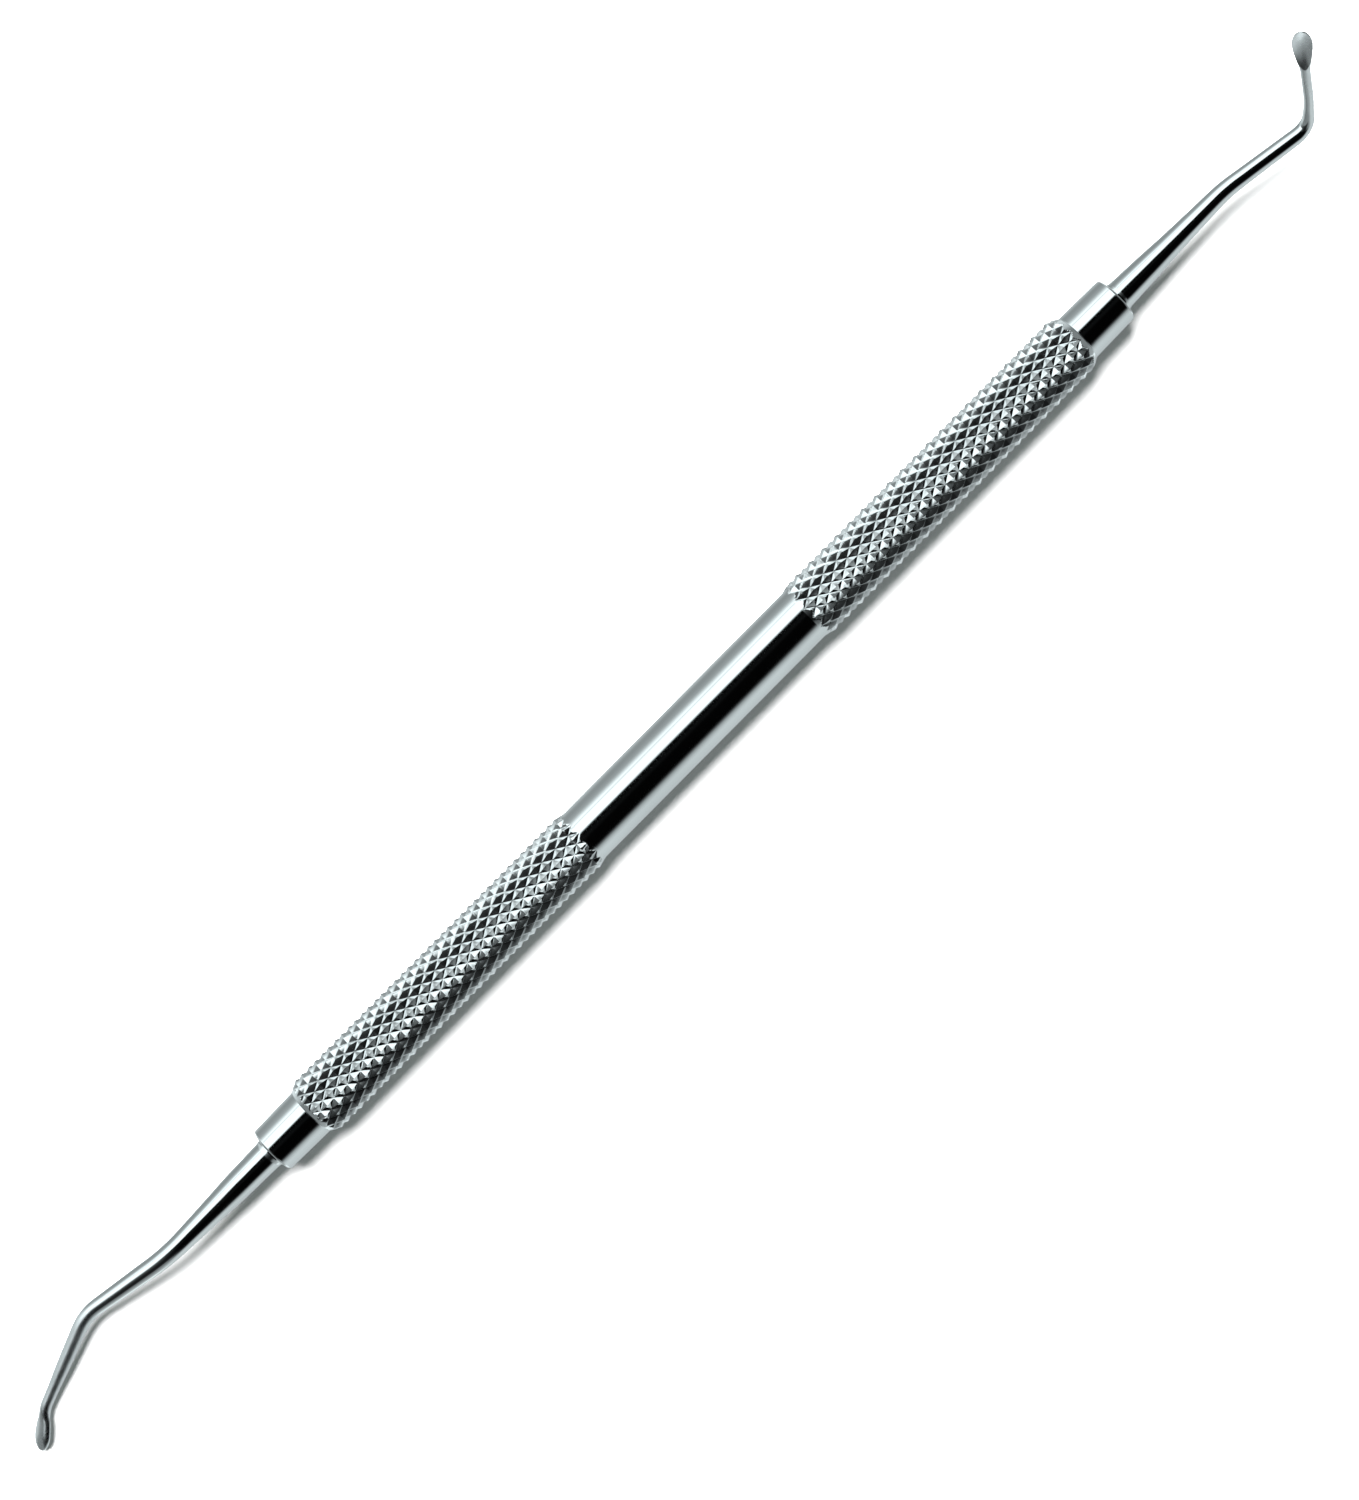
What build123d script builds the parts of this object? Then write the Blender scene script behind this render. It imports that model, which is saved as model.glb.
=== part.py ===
from build123d import *
import os
from math import ceil, cos, radians, sin

os.makedirs("parts", exist_ok=True)

# Double-ended hand instrument with two small spoon blades.
# Frame: origin at the middle of the handle, on its axis. +X runs along the handle towards
# end A, +Z is up when the instrument lies on a table, and the knurled bands touch z = -3.
# All sizes are millimetres.

# ---- driving dimensions -------------------------------------------------------------
handle_length = 107.2         # from one collar face to the other
collar_length = 5.0           # visible length of each end collar
grip_crest_radius = 3.0       # over the knurl crests
plain_radius = 2.7            # polished middle of the tube
plain_half_length = 13.9      # from the middle to where the knurl starts
tube_bore_radius = 2.0
inner_run_out = 1.1           # knurl fading into the polished middle
outer_bevel = 0.9             # bevel at the collar end of each knurled band
bevel_step = 0.05             # of the bevel's foot above the collar

collar_root_radius = 2.42     # at the knurled band
collar_face_radius = 2.33     # at the shank
collar_edge_round = 0.25
spigot_length = 12.0          # part of the collar that is pressed into the tube
spigot_lead = 0.3
tang_radius = 1.1
tang_length = 15.0
tang_lead = 0.3
bore_mouth_chamfer = 0.12

seat_radius = 1.5             # bead of the shank against the collar face
seat_width = 0.12             # from the collar face to the top of the bead
seat_bevel = 0.08
straight_length = 11.0        # of the shank, in line with the handle
station_spacing = 0.5         # between the sections of the bent part of the shank

tube_end = handle_length / 2 - collar_length
collar_face = handle_length / 2

# ---- working ends -------------------------------------------------------------------
# Corners of each shank's centre line: first bend, second bend, third bend, tip of the blade.
# bends holds the radius of the centre line at the first three. radii holds distances along
# the centre line from the collar's face, each with the shank's radius there. face_up is 1
# where the hollow face of the blade looks up and -1 where it looks down, and face_tilt is the
# angle by which that face is turned about the blade, in degrees.
end_a = {
    "label": "working_end_a",
    "side": 1,
    "corners": [(67.3, 0.0, 0.0), (76.48, -1.38, 0.4), (77.58, 0.32, 3.19), (79.66, 4.95, 9.37)],
    "bends": [16.0, 1.9, 12.0],
    "radii": [
        (0.5, 1.41), (2.4, 1.33), (4.4, 1.235), (6.4, 1.11), (10.4, 0.95), (12.4, 0.89),
        (16.4, 0.8), (21.6, 0.74), (24.0, 0.56), (25.0, 0.475), (26.5, 0.455), (29.6, 0.46),
    ],
    "blade_length": 4.45,
    "face_tilt": 22.0,
    "face_up": 1,
}
end_b = {
    "label": "working_end_b",
    "side": -1,
    "corners": [(-66.9, 0.0, 0.0), (-76.08, 1.54, -1.1), (-84.7, -1.75, -2.0), (-87.86, -4.27, -2.514)],
    "bends": [20.0, 5.5, 3.0],
    "radii": [
        (0.5, 1.42), (2.4, 1.365), (4.4, 1.32), (6.4, 1.215), (8.4, 1.11), (12.4, 0.94),
        (16.4, 0.865), (21.2, 0.755), (24.1, 0.7), (28.0, 0.63), (30.0, 0.55), (32.0, 0.53),
    ],
    "blade_length": 3.6,
    "face_tilt": 38.0,
    "face_up": -1,
}

# Blade root: distance from the neck, then width and thickness over the shank's.
root_sections = [(0.0, 0.99, 0.97), (0.35, 1.1, 0.97)]
# Spoon blade: distance from the tip, half width, half thickness.
spoon_sections = [
    (3.55, 0.64, 0.45),
    (2.70, 0.78, 0.47),
    (1.95, 0.88, 0.5),
    (1.30, 0.92, 0.5),
    (0.80, 0.85, 0.44),
    (0.40, 0.66, 0.35),
    (0.13, 0.40, 0.22),
    (0.02, 0.18, 0.1),
]
scoop_from_tip = 1.65         # centre of the scoop
scoop_height = 1.74           # centre of the scoop above the blade's middle plane
scoop_half_length = 3.3
scoop_radius = 1.9
face_height = 0.12            # rim of the blade above its middle plane
face_start_from_neck = 0.1    # where the ground face begins
face_level_from_tip = 2.3     # where it is level with the rim
face_start_rise = 0.14        # of the cut above the neck, where it begins
face_start_slope = -0.5
root_clearance = 0.7          # least distance of a blade section from the neck
cut_reach = 2.0               # of the cutting shapes past the blade, all round


# ---- handle tube: turned and knurled outside, bored through -------------------------
with BuildPart() as handle_tube:
    with BuildSketch(Plane.XZ):
        with BuildLine():
            Polyline(
                (0, tube_bore_radius),
                (tube_end, tube_bore_radius),
                (tube_end, collar_root_radius + bevel_step),
                (tube_end - outer_bevel, grip_crest_radius),
                (plain_half_length + inner_run_out, grip_crest_radius),
                (plain_half_length, plain_radius),
                (0, plain_radius),
                close=True,
            )
        make_face()
    revolve(axis=Axis.X)
    mirror(about=Plane.YZ)
handle_tube.part.label = "handle_tube"
export_step(handle_tube.part, "parts/handle_tube.step")


# ---- end collars: visible ring, spigot pressed into the tube, bore for the tang -----
def build_end_collar(label, side):
    with BuildPart() as collar:
        with BuildSketch(Plane.XZ):
            with BuildLine():
                Polyline(
                    (side * (tube_end - spigot_length), tang_radius),
                    (side * (collar_face - bore_mouth_chamfer), tang_radius),
                    (side * collar_face, tang_radius + bore_mouth_chamfer),
                    (side * collar_face, collar_face_radius),
                    (side * tube_end, collar_root_radius),
                    (side * tube_end, tube_bore_radius),
                    (side * (tube_end - spigot_length + spigot_lead), tube_bore_radius),
                    (side * (tube_end - spigot_length), tube_bore_radius - spigot_lead),
                    close=True,
                )
            make_face()
        revolve(axis=Axis.X)
        face_edges = collar.edges().filter_by(GeomType.CIRCLE).group_by(Axis.X)[-1 if side > 0 else 0]
        fillet(face_edges.sort_by(SortBy.RADIUS)[-1], collar_edge_round)
    collar.part.label = label
    export_step(collar.part, f"parts/{label}.step")


build_end_collar("end_collar_a", 1)
build_end_collar("end_collar_b", -1)


# ---- working ends: tang, tapered shank with its bends, spoon blade -------------------
def radius_at(radii, distance):
    for (start, start_radius), (end, end_radius) in zip(radii, radii[1:]):
        if distance <= end:
            share = (distance - start) / (end - start)
            return start_radius + (end_radius - start_radius) * share
    return radii[-1][1]


def build_working_end(spec):
    side = spec["side"]
    radii = spec["radii"]
    corners = [Vector(side * collar_face, 0, 0)] + [Vector(*corner) for corner in spec["corners"]]
    with BuildLine() as centre_line:
        FilletPolyline(*corners, radius=spec["bends"])
    path = centre_line.wires()[0]
    neck_distance = path.length - spec["blade_length"]

    with BuildPart() as working_end:
        # Tang and the first, straight stretch of the shank, turned in one piece.
        straight_end = (side * (collar_face + straight_length), radius_at(radii, straight_length))
        waist = [(side * (collar_face + d), r) for d, r in radii if d < straight_length]
        with BuildSketch(Plane.XZ):
            with BuildLine():
                tang_start = side * (collar_face - tang_length)
                Polyline(
                    waist[0],
                    (side * (collar_face + seat_width), seat_radius),
                    (side * collar_face, seat_radius - seat_bevel),
                    (side * collar_face, tang_radius),
                    (tang_start + side * tang_lead, tang_radius),
                    (tang_start, tang_radius - tang_lead),
                    (tang_start, 0),
                    (straight_end[0], 0),
                    straight_end,
                )
                Spline(waist + [straight_end])
            make_face()
        revolve(axis=Axis.X)

        # Bent part of the shank: round sections square to the centre line.
        bent_length = neck_distance - straight_length
        spans = ceil(bent_length / station_spacing)
        for number in range(spans + 1):
            distance = straight_length + bent_length * number / spans
            centre = path.position_at(distance, position_mode=PositionMode.LENGTH)
            heading = path.tangent_at(distance, position_mode=PositionMode.LENGTH)
            level = Vector(0, 0, 1).cross(heading)
            with BuildSketch(Plane(origin=centre, x_dir=level, z_dir=heading)):
                Circle(radius_at(radii, distance))
        loft()

        # Spoon blade: oval sections along the last stretch, then the ground face and scoop.
        length = spec["blade_length"]
        along = (corners[4] - corners[3]).normalized()
        neck = corners[4] - along * length
        upright = Vector(0, 0, spec["face_up"])
        upright = (upright - along * upright.dot(along)).normalized()
        sideways = Vector(0, 0, 1).cross(along).normalized() * side * spec["face_up"]
        tilt = radians(spec["face_tilt"])
        face_normal = (upright * cos(tilt) + sideways * sin(tilt)).normalized()
        width = along.cross(face_normal).normalized()
        root = radius_at(radii, neck_distance)

        sections = [(distance, root * wide, root * thick) for distance, wide, thick in root_sections]
        for from_tip, half_width, half_thickness in spoon_sections:
            if length - from_tip > root_clearance:
                sections.append((length - from_tip, half_width, half_thickness))
        for distance, half_width, half_thickness in sections:
            with BuildSketch(Plane(origin=neck + along * distance, x_dir=width, z_dir=along)):
                Ellipse(half_width, half_thickness)
        loft()

        # Side view of the blade: u runs along it and v along the face normal.
        side_view = Plane(origin=neck, x_dir=along, z_dir=along.cross(face_normal))
        with BuildSketch(side_view):
            with BuildLine():
                ramp = Spline(
                    (face_start_from_neck, root + face_start_rise),
                    (length - face_level_from_tip, face_height),
                    tangents=[(1, face_start_slope), (1, 0)],
                )
                Polyline(
                    ramp @ 1,
                    (length + cut_reach, face_height),
                    (length + cut_reach, cut_reach),
                    (face_start_from_neck, cut_reach),
                    ramp @ 0,
                )
            make_face()
        extrude(amount=cut_reach, both=True, mode=Mode.SUBTRACT)
        with BuildSketch(side_view):
            with Locations((length - scoop_from_tip, scoop_height)):
                Ellipse(scoop_half_length, scoop_radius)
                Rectangle(3 * scoop_half_length, 2 * scoop_radius, align=(Align.CENTER, Align.MIN),
                          mode=Mode.SUBTRACT)
        scoop_axis = Axis(neck + face_normal * scoop_height, along)
        revolve(axis=scoop_axis, mode=Mode.SUBTRACT)
    working_end.part.label = spec["label"]
    export_step(working_end.part, f"parts/{spec['label']}.step")


build_working_end(end_a)
build_working_end(end_b)
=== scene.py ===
from math import acos, cos, pi, radians, sin, tan

import bpy
import numpy as np
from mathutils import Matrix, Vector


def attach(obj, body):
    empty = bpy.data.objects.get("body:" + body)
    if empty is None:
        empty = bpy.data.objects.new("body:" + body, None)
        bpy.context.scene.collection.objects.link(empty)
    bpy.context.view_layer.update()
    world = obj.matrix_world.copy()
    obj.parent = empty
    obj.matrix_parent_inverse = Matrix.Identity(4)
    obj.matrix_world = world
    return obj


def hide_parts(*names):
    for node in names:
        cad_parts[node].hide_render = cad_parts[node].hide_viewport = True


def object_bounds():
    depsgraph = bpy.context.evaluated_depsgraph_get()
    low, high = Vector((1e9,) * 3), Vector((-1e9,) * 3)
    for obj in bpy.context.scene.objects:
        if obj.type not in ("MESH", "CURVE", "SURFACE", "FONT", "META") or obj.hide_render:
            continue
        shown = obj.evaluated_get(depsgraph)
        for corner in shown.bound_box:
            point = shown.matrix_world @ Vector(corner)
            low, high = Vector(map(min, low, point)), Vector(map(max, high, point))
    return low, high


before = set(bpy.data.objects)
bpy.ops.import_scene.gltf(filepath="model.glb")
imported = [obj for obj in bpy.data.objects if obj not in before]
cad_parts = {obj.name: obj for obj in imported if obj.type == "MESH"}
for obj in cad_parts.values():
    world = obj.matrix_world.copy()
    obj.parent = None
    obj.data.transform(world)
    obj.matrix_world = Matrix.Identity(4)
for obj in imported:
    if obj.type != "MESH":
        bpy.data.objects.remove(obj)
cad_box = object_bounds()

# A double-ended hand instrument lying on a table: a knurled tube, a collar pressed into each
# end of it, and a bent shank with a small spoon blade held in each collar. Sizes are in
# millimetres, in the frame of the CAD model, and MM turns them into metres.
MM = 0.001

# ---- driving dimensions -------------------------------------------------------------
HANDLE_HALF = 53.6            # middle of the handle to a collar's face
COLLAR_LENGTH = 5.0
TUBE_END = HANDLE_HALF - COLLAR_LENGTH
CREST_RADIUS = 3.0
PLAIN_RADIUS = 2.7
PLAIN_HALF = 13.9             # middle of the handle to where the knurl starts
PLAIN_RINGS = 29              # of the mesh, along the plain middle
BORE_RADIUS = 2.0
RUN_OUT = 1.2                 # knurl fading into the plain middle
RUN_OUT_LIFT = 0.16           # of the grooves' bottoms where the knurl starts
OUTER_BEVEL = 0.9             # bevel at the collar end of each knurled band
BEVEL_STEP = 0.05             # of the bevel's foot above the collar
RING_GAP = 0.01               # least distance of the knurl's rings from both ends of a band

KNURL_STARTS = 15             # diamonds round the handle
KNURL_DEPTH = 0.42
# Each band of knurl: the side that it's on, its diamonds' length along the handle, and the
# share of a diamond by which its left-handed and right-handed grooves are shifted.
KNURL_BANDS = [(1, 1.6635, -0.0375, 0.025), (-1, 1.6845, 0.025, 0.3625)]
APEX_CUT = 0.035              # taken off the points of the diamonds
APEX_ROUND = 0.03             # rounding where they are cut
GROOVE_ROUND = 0.03           # rounding at the bottom of the grooves
CELL_STEPS = 14               # mesh steps across one diamond, each way

COLLAR_ROOT_RADIUS = 2.42
COLLAR_FACE_RADIUS = 2.33
COLLAR_ROUND = 0.25
COLLAR_SEAM = 0.07            # groove where a collar meets the tube
COLLAR_RINGS = 5              # of the mesh, along a collar
COLLAR_RING_STEP = 0.75
SPIGOT_LENGTH = 12.0
SPIGOT_LEAD = 0.3
TANG_RADIUS = 1.1
TANG_LENGTH = 15.0
TANG_LEAD = 0.3
BORE_MOUTH = 0.12             # chamfer of a collar's bore at the shank
SEAT_RADIUS = 1.5             # bead of a shank against its collar's face
SEAT_GAP = 0.05               # round the bead, in the collar's face
SEAT_LENGTH = 0.5
# The bead: distance from the collar's face, and depth below the bead's top.
SEAT_PROFILE = [(0.0, 0.08), (0.05, 0.02), (0.14, 0.0), (0.25, 0.01), (0.38, 0.05)]

ROUND_STEPS = 96              # mesh steps round a shank
SHANK_STEP = 0.2              # between the rings of a shank
BLADE_RINGS = 110
BLADE_CROWDING = 1.6          # power that crowds the blade's rings towards its tip
HEADING_REACH = 0.02          # along a centre line, to find which way it goes

END_A = {
    "name": "working_end_a",
    "side": 1,
    "corners": [(67.3, 0.0, 0.0), (76.48, -1.38, 0.4), (77.58, 0.32, 3.19), (79.66, 4.95, 9.37)],
    "bends": [16.0, 1.9, 12.0],
    "radii": [
        (0.5, 1.41), (2.4, 1.33), (4.4, 1.235), (6.4, 1.11), (10.4, 0.95), (12.4, 0.89),
        (16.4, 0.8), (21.6, 0.74), (24.0, 0.56), (25.0, 0.475), (26.5, 0.455), (29.6, 0.46),
    ],
    "blade_length": 4.45,
    "face_tilt": 22.0,
    "face_up": 1,
}
END_B = {
    "name": "working_end_b",
    "side": -1,
    "corners": [
        (-66.9, 0.0, 0.0), (-76.08, 1.54, -1.1), (-84.7, -1.75, -2.0), (-87.86, -4.27, -2.514),
    ],
    "bends": [20.0, 5.5, 3.0],
    "radii": [
        (0.5, 1.42), (2.4, 1.365), (4.4, 1.32), (6.4, 1.215), (8.4, 1.11), (12.4, 0.94),
        (16.4, 0.865), (21.2, 0.755), (24.1, 0.7), (28.0, 0.63), (30.0, 0.55), (32.0, 0.53),
    ],
    "blade_length": 3.6,
    "face_tilt": 38.0,
    "face_up": -1,
}

# Blade: distance from the tip, half width, half thickness. The nose is half an ellipse.
NOSE_LENGTH = 1.5
BLADE_WIDTHS = [(1.5, 0.92), (1.95, 0.885), (2.7, 0.78), (3.55, 0.62)]
BLADE_THICKNESSES = [(0.0, 0.5), (1.5, 0.5), (2.7, 0.47), (3.55, 0.45)]
ROOT_CLEARANCE = 0.7          # least distance of these places from the neck
ROOT_SWELL = (0.35, 1.1)      # distance from the neck, and width there over the neck's
FACE_HEIGHT = 0.12            # rim of the blade above its middle plane
FACE_LEVEL = 2.3              # from the tip to where the ground face meets the rim's level
FACE_START = 0.1              # from the neck to where the ground face begins
FACE_START_RISE = 0.14        # of the ground face above the neck, where it begins
FACE_SHARE_LIMIT = 1.5        # of the ground face's curve, carried on past where it begins
SCOOP_FROM_TIP = 1.65
SCOOP_HEIGHT = 1.74
SCOOP_HALF_LENGTH = 3.3
SCOOP_RADIUS = 1.9
SCOOP_FOOT = 0.02             # depth below the middle plane where the scoop stops acting
FAR_ABOVE = 9.0               # any height that is well clear of the blade
EDGE_ROUND = 0.03             # wear on the blade's edges

# Least angle between two faces, in degrees, that shows as an edge.
KNURL_EDGE = 22
COLLAR_EDGE = 35
BLADE_EDGE = 50


# ---- small helpers ------------------------------------------------------------------
def smooth_through(points, x):
    """A smooth curve through the points that doesn't overshoot between them."""
    px = np.array([p[0] for p in points], float)
    py = np.array([p[1] for p in points], float)
    x = np.clip(x, px[0], px[-1])
    slopes = np.diff(py) / np.diff(px)
    ends = np.concatenate(([slopes[0]], slopes, [slopes[-1]]))
    before, after = ends[:-1], ends[1:]
    product = before * after
    tangents = np.where(product > 0, 2 * product / np.where(product > 0, before + after, 1), 0)
    k = np.clip(np.searchsorted(px, x, side="right") - 1, 0, len(px) - 2)
    h = px[k + 1] - px[k]
    t = (x - px[k]) / h
    value = (1 + 2 * t) * (1 - t) ** 2 * py[k] + t ** 2 * (3 - 2 * t) * py[k + 1]
    return value + h * t * (1 - t) ** 2 * tangents[k] - h * t ** 2 * (1 - t) * tangents[k + 1]


def soft_min(a, b, width):
    """The lower of a and b, with the corner between them rounded over a width."""
    mix = np.clip(0.5 + 0.5 * (b - a) / width, 0, 1)
    return b * (1 - mix) + a * mix - width * mix * (1 - mix) / 2


def make_object(name, points, faces, sharp_angle):
    """A mesh object from points in millimetres."""
    mesh = bpy.data.meshes.new(name)
    mesh.from_pydata((np.asarray(points) * MM).tolist(), [], faces)
    mesh.polygons.foreach_set("use_smooth", [True] * len(mesh.polygons))
    mesh.set_sharp_from_angle(angle=radians(sharp_angle))
    mesh.update()
    obj = bpy.data.objects.new(name, mesh)
    bpy.context.scene.collection.objects.link(obj)
    return obj


def ring_faces(ring_count, step_count, closed):
    """Four-sided faces between rings of points. closed joins the last ring to the first."""
    faces = []
    for i in range(ring_count if closed else ring_count - 1):
        here = i * step_count
        there = (i + 1) % ring_count * step_count
        for j in range(step_count):
            k = (j + 1) % step_count
            faces.append((here + j, there + j, there + k, here + k))
    return faces


def turned(name, profile, step_count, sharp_angle):
    """A closed solid turned about X from a closed profile of (x, radius) points."""
    angles = np.arange(step_count) * 2 * pi / step_count
    x = np.array([p[0] for p in profile])[:, None]
    r = np.array([p[1] for p in profile])[:, None]
    points = np.stack([x + 0 * angles, r * np.cos(angles), r * np.sin(angles)], axis=2)
    faces = ring_faces(len(profile), step_count, True)
    return make_object(name, points.reshape(-1, 3), faces, sharp_angle)


def arc_points(centre, radius, start, end, count):
    """Points on an arc in the profile plane, angles in degrees."""
    angles = [radians(start + (end - start) * k / count) for k in range(count + 1)]
    return [(centre[0] + radius * cos(a), centre[1] + radius * sin(a)) for a in angles]


# ---- handle tube: knurled outside, bored through ------------------------------------
def knurl_stations():
    """Rings of the tube's outside: place along the handle, pitch, and groove phases."""
    plain = np.linspace(-PLAIN_HALF, PLAIN_HALF, PLAIN_RINGS)
    rows = [(x, KNURL_BANDS[0][1], 0.0, 0.0) for x in plain]
    for side, pitch, left, right in KNURL_BANDS:
        fine = pitch / CELL_STEPS
        origin = (right - left) * pitch / 2
        first = int(np.ceil((PLAIN_HALF + RING_GAP - side * origin) / fine))
        last = int((TUBE_END - RING_GAP - side * origin) / fine)
        places = [origin + side * k * fine for k in range(first, last + 1)]
        rows += [(x, pitch, left, right) for x in places + [side * TUBE_END]]
    return np.array(sorted(rows))


def build_handle():
    rows = knurl_stations()
    x, pitch, left_phase, right_phase = (rows[:, k][:, None] for k in range(4))
    step_count = KNURL_STARTS * CELL_STEPS
    # The rings turn a little, so that the grooves' bottoms lie on points of the mesh.
    shift = -CELL_STEPS * (left_phase + right_phase) / 2
    shift = shift - np.round(shift)
    turn = (np.arange(step_count)[None, :] + shift) / step_count
    span = np.abs(x)
    crest = np.interp(
        span,
        [0, PLAIN_HALF, PLAIN_HALF + RUN_OUT, TUBE_END - OUTER_BEVEL, TUBE_END],
        [PLAIN_RADIUS, PLAIN_RADIUS, CREST_RADIUS, CREST_RADIUS, COLLAR_ROOT_RADIUS + BEVEL_STEP],
    )
    lift = np.interp(span, [PLAIN_HALF, PLAIN_HALF + RUN_OUT], [RUN_OUT_LIFT, 0.0])

    def groove_family(hand, shifted):
        phase = KNURL_STARTS * turn + hand * x / pitch + shifted
        away = np.abs(phase - np.round(phase)) * 2
        wall = np.sqrt((KNURL_DEPTH * away) ** 2 + GROOVE_ROUND ** 2) - GROOVE_ROUND
        return CREST_RADIUS + APEX_CUT - KNURL_DEPTH + wall

    left, right = groove_family(1, left_phase), groove_family(-1, right_phase)
    knurl = np.minimum(left, right) + lift
    radius = soft_min(knurl, crest + 0 * turn, APEX_ROUND)
    radius = np.where(span < PLAIN_HALF + RING_GAP / 2, PLAIN_RADIUS, np.minimum(radius, crest))

    angles = 2 * pi * turn
    outside = np.stack([x + 0 * turn, radius * np.cos(angles), radius * np.sin(angles)], axis=2)
    bore_x = TUBE_END * np.array([1, 0.5, 0, -0.5, -1])[:, None]
    angles = 2 * pi * np.arange(step_count)[None, :] / step_count + 0 * bore_x
    across, height = BORE_RADIUS * np.cos(angles), BORE_RADIUS * np.sin(angles)
    bore = np.stack([bore_x + 0 * angles, across, height], axis=2)
    points = np.concatenate([outside, bore]).reshape(-1, 3)

    # Each square between the rings is cut along the groove that it lies in.
    faces = []
    ring_count = len(x) + len(bore_x)
    votes = (left < right).astype(int)
    votes = votes + np.roll(votes, -1, axis=1)
    in_left_groove = votes[:-1] + votes[1:] > 2
    for i in range(ring_count):
        here = i * step_count
        there = (i + 1) % ring_count * step_count
        knurled = i < len(x) - 1 and min(span[i, 0], span[i + 1, 0]) >= PLAIN_HALF - RING_GAP
        for j in range(step_count):
            k = (j + 1) % step_count
            a, b, c, d = here + j, there + j, there + k, here + k
            if not knurled:
                faces.append((a, b, c, d))
            elif in_left_groove[i, j]:
                faces += [(a, b, d), (b, c, d)]
            else:
                faces += [(a, b, c), (a, c, d)]
    return make_object("handle_tube_knurled", points, faces, KNURL_EDGE)


# ---- end collars --------------------------------------------------------------------
def build_collar(name, side):
    spigot_start = TUBE_END - SPIGOT_LENGTH
    slope = (COLLAR_ROOT_RADIUS - COLLAR_FACE_RADIUS) / COLLAR_LENGTH
    edge_radius = COLLAR_FACE_RADIUS + slope * COLLAR_ROUND
    edge_centre = (HANDLE_HALF - COLLAR_ROUND, edge_radius - COLLAR_ROUND)
    profile = [
        (spigot_start, TANG_RADIUS),
        (HANDLE_HALF - BORE_MOUTH, TANG_RADIUS),
        (HANDLE_HALF, TANG_RADIUS + BORE_MOUTH),
        (HANDLE_HALF, SEAT_RADIUS + SEAT_GAP),
    ]
    profile += arc_points(edge_centre, COLLAR_ROUND, 0, 90, 10)
    for number in range(COLLAR_RINGS, 0, -1):
        from_tube = number * COLLAR_RING_STEP
        profile.append((TUBE_END + from_tube, COLLAR_ROOT_RADIUS - slope * from_tube))
    profile += [
        (TUBE_END + 2 * COLLAR_SEAM, COLLAR_ROOT_RADIUS - slope * COLLAR_SEAM),
        (TUBE_END + 1.2 * COLLAR_SEAM, COLLAR_ROOT_RADIUS - 0.3 * COLLAR_SEAM),
        (TUBE_END, COLLAR_ROOT_RADIUS - 1.3 * COLLAR_SEAM),
        (TUBE_END, BORE_RADIUS),
        (spigot_start + SPIGOT_LEAD, BORE_RADIUS),
        (spigot_start, BORE_RADIUS - SPIGOT_LEAD),
    ]
    profile = [(side * x, r) for x, r in (profile if side < 0 else profile[::-1])]
    return turned(name, profile, ROUND_STEPS, COLLAR_EDGE)


# ---- working ends: tang, bent shank, spoon blade ------------------------------------
def centre_line(corners, bend_radii, step):
    """Points along straight runs joined by arcs, and the distance of each from the start."""
    points = [np.array(corners[0], float)]
    for n, bend in enumerate(bend_radii, start=1):
        corner = np.array(corners[n], float)
        back = (corner - corners[n - 1]) / np.linalg.norm(corner - corners[n - 1])
        ahead = (corners[n + 1] - corner) / np.linalg.norm(corners[n + 1] - corner)
        turn = acos(np.clip(back @ ahead, -1, 1))
        reach = bend * tan(turn / 2)
        start = corner - back * reach
        inward = ahead - back * (back @ ahead)
        inward /= np.linalg.norm(inward)
        run = start - points[-1]
        pieces = max(1, int(np.linalg.norm(run) / step))
        points += [points[-1] + run * k / pieces for k in range(1, pieces + 1)]
        centre = start + inward * bend
        arcs = max(6, int(bend * turn / step) + 1)
        for k in range(1, arcs + 1):
            angle = turn * k / arcs
            points.append(centre - inward * bend * cos(angle) + back * bend * sin(angle))
    run = np.array(corners[-1], float) - points[-1]
    pieces = max(1, int(np.linalg.norm(run) / step))
    points += [points[-1] + run * k / pieces for k in range(1, pieces + 1)]
    points = np.array(points)
    distances = np.concatenate(([0], np.cumsum(np.linalg.norm(np.diff(points, axis=0), axis=1))))
    return points, distances


def blade_frame(spec):
    """Direction of the blade, and the normal of its ground face."""
    last, tip = (np.array(spec["corners"][k], float) for k in (2, 3))
    along = (tip - last) / np.linalg.norm(tip - last)
    upright = np.array((0, 0, spec["face_up"]), float)
    upright -= along * (upright @ along)
    upright /= np.linalg.norm(upright)
    sideways = np.cross((0, 0, 1), along) * spec["side"] * spec["face_up"]
    sideways /= np.linalg.norm(sideways)
    tilt = radians(spec["face_tilt"])
    return along, upright * cos(tilt) + sideways * sin(tilt)


def shank_radius(spec, distance):
    return float(smooth_through(spec["radii"], distance))


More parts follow.
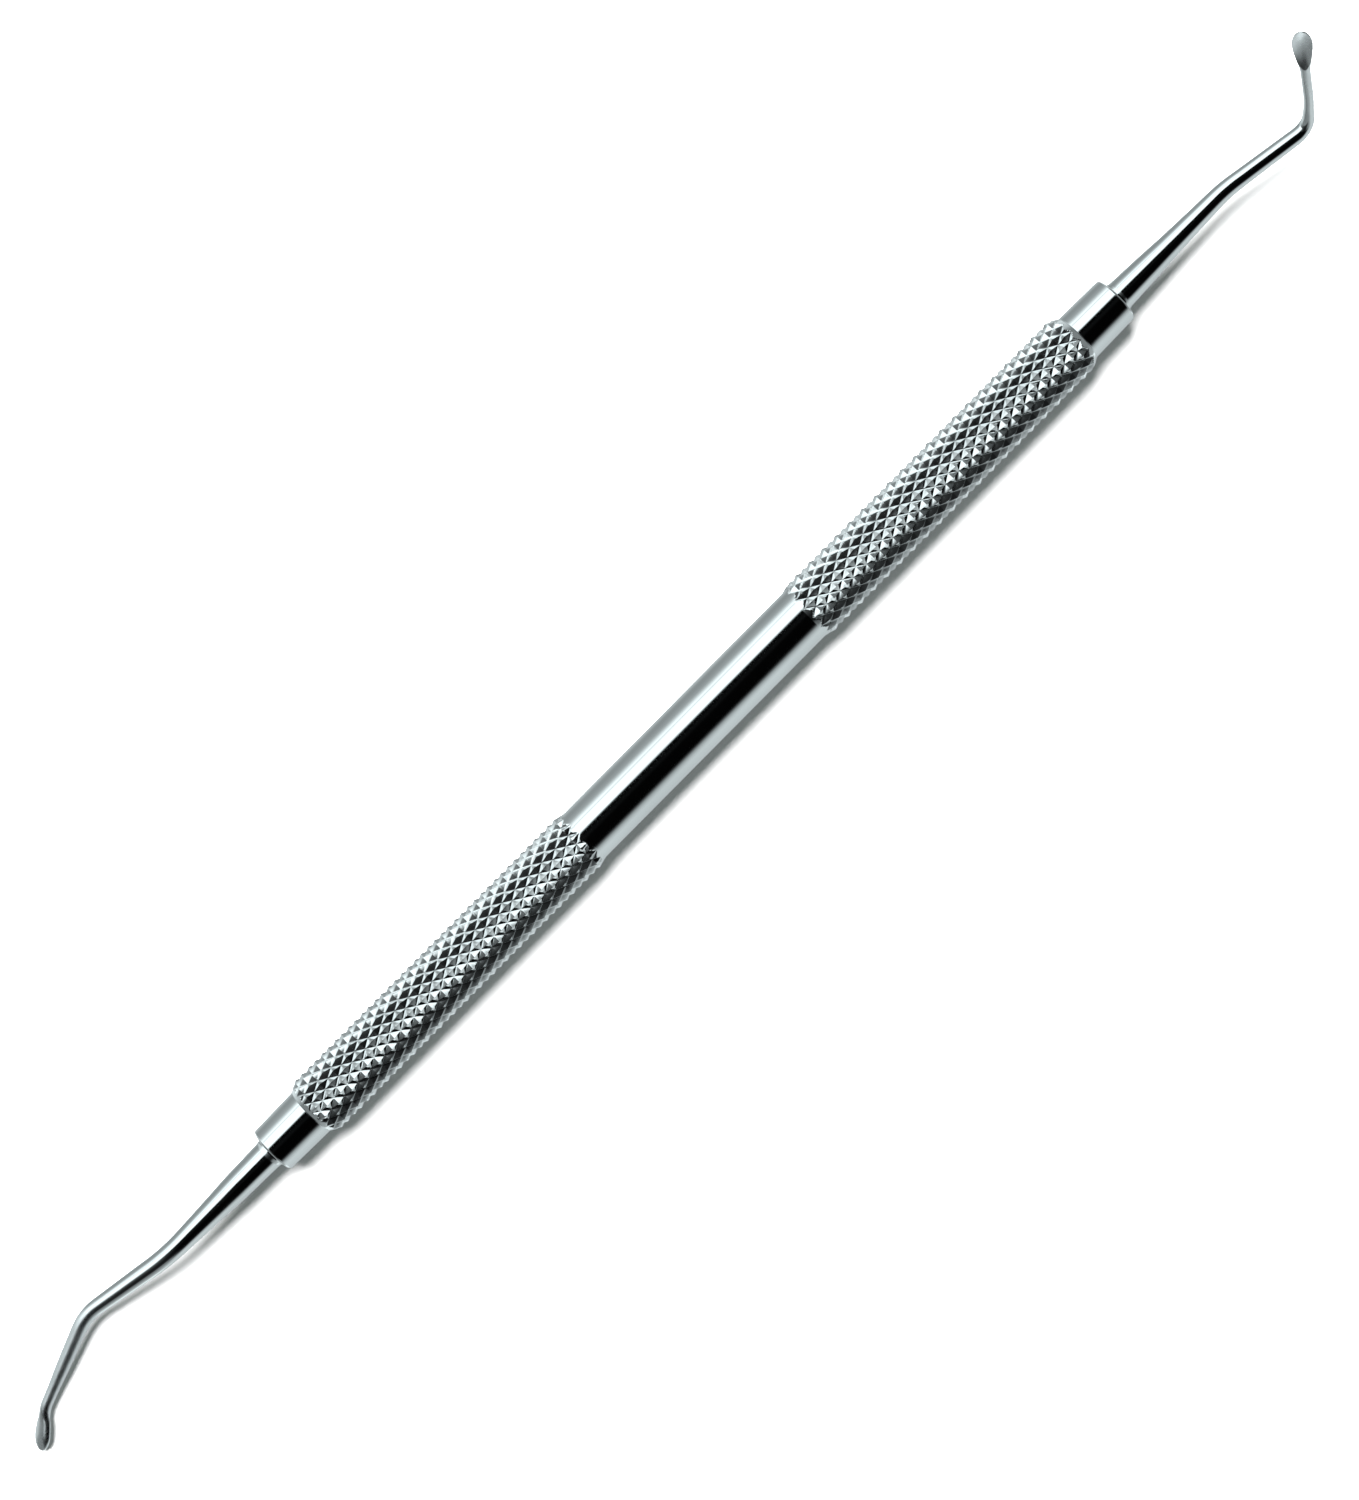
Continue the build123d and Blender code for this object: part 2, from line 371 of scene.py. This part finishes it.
def blade_section(from_tip, length, neck_radius, around):
    """The blade's section at a distance from its tip: points across it and above its middle."""
    from_neck, swell = ROOT_SWELL
    widths = [row for row in BLADE_WIDTHS if row[0] < length - ROOT_CLEARANCE]
    widths += [(length - from_neck, neck_radius * swell), (length, neck_radius)]
    heights = [row for row in BLADE_THICKNESSES if row[0] < length - ROOT_CLEARANCE]
    heights += [(length, neck_radius)]
    nose = np.sqrt(np.clip(1 - (1 - min(from_tip, NOSE_LENGTH) / NOSE_LENGTH) ** 2, 0, 1))
    across = smooth_through(widths, from_tip) * nose * np.cos(around)
    height = smooth_through(heights, from_tip) * nose * np.sin(around)

    # The ground face falls from the neck to the rim's level, and the scoop is an ellipsoid.
    share = (from_tip - FACE_LEVEL) / (length - FACE_START - FACE_LEVEL)
    share = np.clip(share, 0, FACE_SHARE_LIMIT)
    face = FACE_HEIGHT + (neck_radius + FACE_START_RISE - FACE_HEIGHT) * share ** 2
    height = soft_min(height, face, EDGE_ROUND)
    inside = 1 - ((from_tip - SCOOP_FROM_TIP) / SCOOP_HALF_LENGTH) ** 2
    reach = SCOOP_RADIUS ** 2 * max(inside, 0) - across ** 2
    scoop = np.where(reach > 0, SCOOP_HEIGHT - np.sqrt(np.maximum(reach, 0)), FAR_ABOVE)
    scooped = soft_min(height, scoop, EDGE_ROUND)
    return across, np.where(height > -SCOOP_FOOT, scooped, height)


def build_working_end(spec):
    side = spec["side"]
    corners = [np.array(c, float) for c in [(side * HANDLE_HALF, 0, 0)] + spec["corners"]]
    line, distances = centre_line(corners, spec["bends"], SHANK_STEP)
    length = spec["blade_length"]
    neck = distances[-1] - length
    along, face_normal = blade_frame(spec)
    around = np.arange(ROUND_STEPS) * 2 * pi / ROUND_STEPS

    def ring(centre, across, height):
        return centre + np.outer(across, width) + np.outer(height, normal)

    # Rings from the tip back to the end of the tang: the blade, with rings that close up
    # towards its tip, then the shank, its seat and the tang.
    rings = []
    width = np.cross(face_normal, along)
    normal = face_normal
    tip = corners[-1]
    for share in np.linspace(0, 1, BLADE_RINGS + 1)[1:]:
        from_tip = length * share ** BLADE_CROWDING
        across, height = blade_section(from_tip, length, shank_radius(spec, neck), around)
        rings.append(ring(tip - along * from_tip, across, height))
    wanted = distances[(distances < neck - SHANK_STEP / 2) & (distances > SEAT_LENGTH - RING_GAP)]
    for distance in wanted[::-1]:
        centre, ahead = (
            np.array([np.interp(place, distances, line[:, k]) for k in range(3)])
            for place in (distance, distance + HEADING_REACH)
        )
        heading = ahead - centre
        heading /= np.linalg.norm(heading)
        width = width - heading * (width @ heading)
        width /= np.linalg.norm(width)
        normal = np.cross(heading, width)
        radius = shank_radius(spec, distance)
        rings.append(ring(centre, radius * np.cos(around), radius * np.sin(around)))
    tang = [(distance, SEAT_RADIUS - depth) for distance, depth in SEAT_PROFILE[::-1]]
    tang += [
        (0.0, TANG_RADIUS),
        (-TANG_LENGTH + TANG_LEAD, TANG_RADIUS),
        (-TANG_LENGTH, TANG_RADIUS - TANG_LEAD),
    ]
    for distance, radius in tang:
        centre = corners[0] + np.array((side * distance, 0, 0))
        rings.append(ring(centre, radius * np.cos(around), radius * np.sin(around)))

    tang_end = corners[0] - np.array((side * TANG_LENGTH, 0, 0))
    points = np.concatenate([tip[None]] + rings + [tang_end[None]])
    last = len(points) - 1
    faces = [(0, 1 + j, 1 + (j + 1) % ROUND_STEPS) for j in range(ROUND_STEPS)]
    faces += [tuple(v + 1 for v in face) for face in ring_faces(len(rings), ROUND_STEPS, False)]
    base = last - ROUND_STEPS
    faces += [(last, base + (j + 1) % ROUND_STEPS, base + j) for j in range(ROUND_STEPS)]
    return make_object(spec["name"] + "_polished", points, faces, BLADE_EDGE)


# ---- materials ----------------------------------------------------------------------
STEEL_COLOUR = (0.86, 0.875, 0.88)
CLOUD_SCALE = 180.0           # of the soft patches in the steel's tone
CLOUD_SHARE = 0.93            # of the steel's colour in the darker patches
CLOUD_RANGE = (0.3, 0.7)
MARKS_SCALE = 900.0           # of the polishing marks
MARKS_DETAIL = 4.0
MARKS_HEIGHT = 0.02
ROUGHNESS_RANGE = (0.7, 1.4)  # of the steel's roughness, over the marks
TURNED_MARKS = (6.0, 0.5, 0.5)
KNURLED_MARKS = (5.0, 0.5, 0.5)
DRAWN_MARKS = (0.5, 4.0, 4.0)
# The stretches between the bends and the blades are less bright than the rest: place along X,
# and share of the roughness that the steel has there.
BLADE_FINISH = [
    (-85.0, 0.7), (-84.2, 1.1), (-77.5, 1.1), (-76.0, 0.7), (-70.0, 0.3), (-66.0, 0.23),
    (77.3, 0.23), (77.7, 1.0), (78.3, 1.0), (78.7, 0.8),
]
FINISH_REACH = 100.0          # from the middle of the handle to both ends of that range


def fill_ramp(ramp, stops):
    """Set a colour ramp from places between 0 and 1 and their colours."""
    elements = ramp.color_ramp.elements
    elements.remove(elements[1])
    for number, (position, colour) in enumerate(stops):
        element = elements[0] if number == 0 else elements.new(position)
        element.position = position
        element.color = (*colour, 1)


def steel(name, roughness, marks_stretch, marks_strength, finish=None):
    """Polished stainless steel with fine polishing marks, and a finish that differs along X."""
    material = bpy.data.materials.new(name)
    material.use_nodes = True
    nodes, links = material.node_tree.nodes, material.node_tree.links
    shader = nodes["Principled BSDF"]
    shader.inputs["Metallic"].default_value = 1.0
    place = nodes.new("ShaderNodeTexCoord")
    stretch = nodes.new("ShaderNodeMapping")
    stretch.inputs["Scale"].default_value = marks_stretch
    links.new(place.outputs["Object"], stretch.inputs["Vector"])
    marks = nodes.new("ShaderNodeTexNoise")
    marks.inputs["Scale"].default_value = MARKS_SCALE
    marks.inputs["Detail"].default_value = MARKS_DETAIL
    links.new(stretch.outputs["Vector"], marks.inputs["Vector"])
    cloud = nodes.new("ShaderNodeTexNoise")
    cloud.inputs["Scale"].default_value = CLOUD_SCALE
    links.new(place.outputs["Object"], cloud.inputs["Vector"])
    tone = nodes.new("ShaderNodeValToRGB")
    darker = [c * CLOUD_SHARE for c in STEEL_COLOUR]
    fill_ramp(tone, [(CLOUD_RANGE[0], darker), (CLOUD_RANGE[1], STEEL_COLOUR)])
    links.new(cloud.outputs["Fac"], tone.inputs["Fac"])
    links.new(tone.outputs["Color"], shader.inputs["Base Color"])
    rough = nodes.new("ShaderNodeMapRange")
    rough.inputs["To Min"].default_value = roughness * ROUGHNESS_RANGE[0]
    rough.inputs["To Max"].default_value = roughness * ROUGHNESS_RANGE[1]
    links.new(marks.outputs["Fac"], rough.inputs["Value"])
    roughness_there = rough.outputs["Result"]
    if finish:
        axes = nodes.new("ShaderNodeSeparateXYZ")
        links.new(place.outputs["Object"], axes.inputs["Vector"])
        along = nodes.new("ShaderNodeMapRange")
        along.inputs["From Min"].default_value = -FINISH_REACH * MM
        along.inputs["From Max"].default_value = FINISH_REACH * MM
        links.new(axes.outputs["X"], along.inputs["Value"])
        ramp = nodes.new("ShaderNodeValToRGB")
        fill_ramp(ramp, [((x / FINISH_REACH + 1) / 2, (share,) * 3) for x, share in finish])
        links.new(along.outputs["Result"], ramp.inputs["Fac"])
        product = nodes.new("ShaderNodeMath")
        product.operation = "MULTIPLY"
        links.new(rough.outputs["Result"], product.inputs[0])
        links.new(ramp.outputs["Color"], product.inputs[1])
        roughness_there = product.outputs["Value"]
    links.new(roughness_there, shader.inputs["Roughness"])
    bump = nodes.new("ShaderNodeBump")
    bump.inputs["Strength"].default_value = marks_strength
    bump.inputs["Distance"].default_value = MARKS_HEIGHT * MM
    links.new(marks.outputs["Fac"], bump.inputs["Height"])
    links.new(bump.outputs["Normal"], shader.inputs["Normal"])
    return material


# ---- pieces -------------------------------------------------------------------------
def place_piece(piece, node, material):
    piece.data.materials.append(material)
    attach(piece, "root")
    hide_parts(node)


turned_steel = steel("steel_turned", 0.07, TURNED_MARKS, 0.15)
drawn_steel = steel("steel_drawn", 0.34, DRAWN_MARKS, 0.15, BLADE_FINISH)
handle_steel = steel("steel_handle", 0.09, KNURLED_MARKS, 0.12)

place_piece(build_handle(), "handle_tube", handle_steel)
place_piece(build_collar("end_collar_a_turned", 1), "end_collar_a", turned_steel)
place_piece(build_collar("end_collar_b_turned", -1), "end_collar_b", turned_steel)
place_piece(build_working_end(END_A), "working_end_a", drawn_steel)
place_piece(build_working_end(END_B), "working_end_b", drawn_steel)


# ---- floor --------------------------------------------------------------------------
FLOOR_REACH = 3.0             # metres, from the middle to each side
FLOOR_GAP = 0.02              # below the lowest point of the instrument
FLOOR_WHITE = 0.9


def build_floor():
    mesh = bpy.data.meshes.new("table_top")
    level = cad_box[0][2] - FLOOR_GAP * MM
    corners = [(-1, -1), (1, -1), (1, 1), (-1, 1)]
    points = [(x * FLOOR_REACH, y * FLOOR_REACH, level) for x, y in corners]
    mesh.from_pydata(points, [], [(0, 1, 2, 3)])
    floor = bpy.data.objects.new("table_top", mesh)
    bpy.context.scene.collection.objects.link(floor)
    floor.visible_glossy = False
    paper = bpy.data.materials.new("white_paper")
    paper.use_nodes = True
    shader = paper.node_tree.nodes["Principled BSDF"]
    shader.inputs["Base Color"].default_value = (FLOOR_WHITE, FLOOR_WHITE, FLOOR_WHITE, 1)
    shader.inputs["Roughness"].default_value = 0.9
    shader.inputs["Specular IOR Level"].default_value = 0.0
    mesh.materials.append(paper)
    return floor


build_floor()


# ---- light --------------------------------------------------------------------------
def linear(level):
    """Light value of a display level from 0 to 255."""
    share = level / 255
    return share / 12.92 if share < 0.04045 else ((share + 0.055) / 1.055) ** 2.4


# Studio round the instrument, by the angle of a direction from straight up towards +Y, in
# degrees, and the display level of what is there: the table beyond 80 or so on both sides, the
# soft box from 20 to 70, and the dark room on the other side of the camera. One row is for what
# lies square to the handle, one for what lies obliquely, and one for what lies beyond its ends.
SQUARE = [
    (-180, 180), (-150, 190), (-120, 200), (-98, 205), (-86, 190), (-76, 155), (-68, 90),
    (-62, 25), (-56, 2), (-16, 2), (-8, 12), (0, 12), (8, 2), (15, 8), (21, 255), (50, 255),
    (56, 225), (60, 255), (68, 240), (76, 195), (84, 165), (92, 155), (105, 145), (118, 145),
    (130, 160), (150, 190), (180, 180),
]
OBLIQUE = [
    (-180, 205), (-150, 240), (-118, 250), (-110, 220), (-100, 175), (-88, 165), (-75, 140),
    (-60, 120), (-50, 70), (-42, 25), (-20, 25), (0, 60), (12, 110), (22, 255), (60, 255),
    (75, 240), (88, 205), (105, 200), (125, 215), (150, 230), (180, 205),
]
ENDWAYS = [
    (-180, 165), (-150, 160), (-120, 160), (-100, 150), (-80, 125), (-60, 80), (-45, 45),
    (-20, 35), (0, 45), (20, 80), (45, 110), (70, 140), (95, 180), (120, 205), (150, 190),
    (180, 165),
]
BEYOND = 127                  # level of what lies nearly in line with the handle
# Where the second row, the third and the last level take over: the middle along X of what lies
# square, and the distances from it where each starts and where it has taken over.
OBLIQUE_SPAN = (0.08, 0.36, 0.5)
ENDWAYS_SPAN = (0.0, 0.58, 0.66)
BEYOND_SPAN = (0.0, 0.8, 0.9)
STEEL_SHARE = 0.865           # of the light that the steel reflects
STUDIO_TINT = (0.89, 0.99, 1.005)
SOFT_BOX = 1.4                # light value of the levels at 255
AMBIENT = (0.16, 0.178, 0.17)  # soft light on the table from all round
TABLE_WHITE = 1.0             # what the camera sees beyond the table's edge
LAMP_ENERGY = 12.5
LAMP_WIDTH = 40               # degrees across, as the table sees it
LAMP_TILT = -30               # degrees from straight above, towards +Y


def build_world():
    world = bpy.data.worlds.new("studio")
    bpy.context.scene.world = world
    world.use_nodes = True
    nodes, links = world.node_tree.nodes, world.node_tree.links
    background = nodes["Background"]
    place = nodes.new("ShaderNodeTexCoord")
    parts = nodes.new("ShaderNodeSeparateXYZ")
    links.new(place.outputs["Generated"], parts.inputs["Vector"])
    angle = nodes.new("ShaderNodeMath")
    angle.operation = "ARCTAN2"
    links.new(parts.outputs["Y"], angle.inputs[0])
    links.new(parts.outputs["Z"], angle.inputs[1])
    share = nodes.new("ShaderNodeMapRange")
    share.inputs["From Min"].default_value = -pi
    share.inputs["From Max"].default_value = pi
    links.new(angle.outputs["Value"], share.inputs["Value"])

    def tinted(level):
        value = SOFT_BOX if level == 255 else linear(level) / STEEL_SHARE
        return tuple(value * tint for tint in STUDIO_TINT)

    def studio_ramp(stops):
        ramp = nodes.new("ShaderNodeValToRGB")
        fill_ramp(ramp, [((degrees + 180) / 360, tinted(level)) for degrees, level in stops])
        links.new(share.outputs["Result"], ramp.inputs["Fac"])
        return ramp.outputs["Color"]

    def mixed(first, second, share_of_second):
        mix = nodes.new("ShaderNodeMixRGB")
        links.new(share_of_second, mix.inputs["Fac"])
        for socket, value in ((mix.inputs["Color1"], first), (mix.inputs["Color2"], second)):
            if isinstance(value, tuple):
                socket.default_value = (*value, 1)
            else:
                links.new(value, socket)
        return mix.outputs["Color"]

    def outward(centre, start, end):
        """0 near the plane square to the handle at centre, 1 further along it than end."""
        offset = nodes.new("ShaderNodeMath")
        offset.operation = "SUBTRACT"
        offset.inputs[1].default_value = centre
        links.new(parts.outputs["X"], offset.inputs[0])
        size = nodes.new("ShaderNodeMath")
        size.operation = "ABSOLUTE"
        links.new(offset.outputs["Value"], size.inputs[0])
        edge = nodes.new("ShaderNodeMapRange")
        edge.interpolation_type = "SMOOTHSTEP"
        edge.inputs["From Min"].default_value = start
        edge.inputs["From Max"].default_value = end
        links.new(size.outputs["Value"], edge.inputs["Value"])
        return edge.outputs["Result"]

    studio = mixed(studio_ramp(SQUARE), studio_ramp(OBLIQUE), outward(*OBLIQUE_SPAN))
    studio = mixed(studio, studio_ramp(ENDWAYS), outward(*ENDWAYS_SPAN))
    studio = mixed(studio, tinted(BEYOND), outward(*BEYOND_SPAN))
    path = nodes.new("ShaderNodeLightPath")
    studio = mixed(studio, AMBIENT, path.outputs["Is Diffuse Ray"])
    studio = mixed(studio, (TABLE_WHITE,) * 3, path.outputs["Is Camera Ray"])
    links.new(studio, background.inputs["Color"])


def build_lamp():
    data = bpy.data.lights.new("soft_box", "SUN")
    data.energy = LAMP_ENERGY
    data.angle = radians(LAMP_WIDTH)
    lamp = bpy.data.objects.new("soft_box", data)
    lamp.visible_glossy = False
    lamp.rotation_euler = (radians(LAMP_TILT), 0, 0)
    bpy.context.scene.collection.objects.link(lamp)


build_world()
build_lamp()


# ---- camera -------------------------------------------------------------------------
CAMERA_PLACE = (-2.53, -0.65, 313.0)
CAMERA_TURN = -45.25          # degrees, about the vertical: it looks straight down
LENS = 84
SENSOR_WIDTH = 36
CLIP_RANGE = (0.01, 20)       # metres

camera_data = bpy.data.cameras.new("camera")
camera_data.lens = LENS
camera_data.sensor_width = SENSOR_WIDTH
camera_data.clip_start, camera_data.clip_end = CLIP_RANGE
camera = bpy.data.objects.new("camera", camera_data)
camera.location = [coordinate * MM for coordinate in CAMERA_PLACE]
camera.rotation_euler = (0, 0, radians(CAMERA_TURN))
bpy.context.scene.collection.objects.link(camera)
bpy.context.scene.camera = camera
bpy.context.scene.view_settings.view_transform = "Standard"
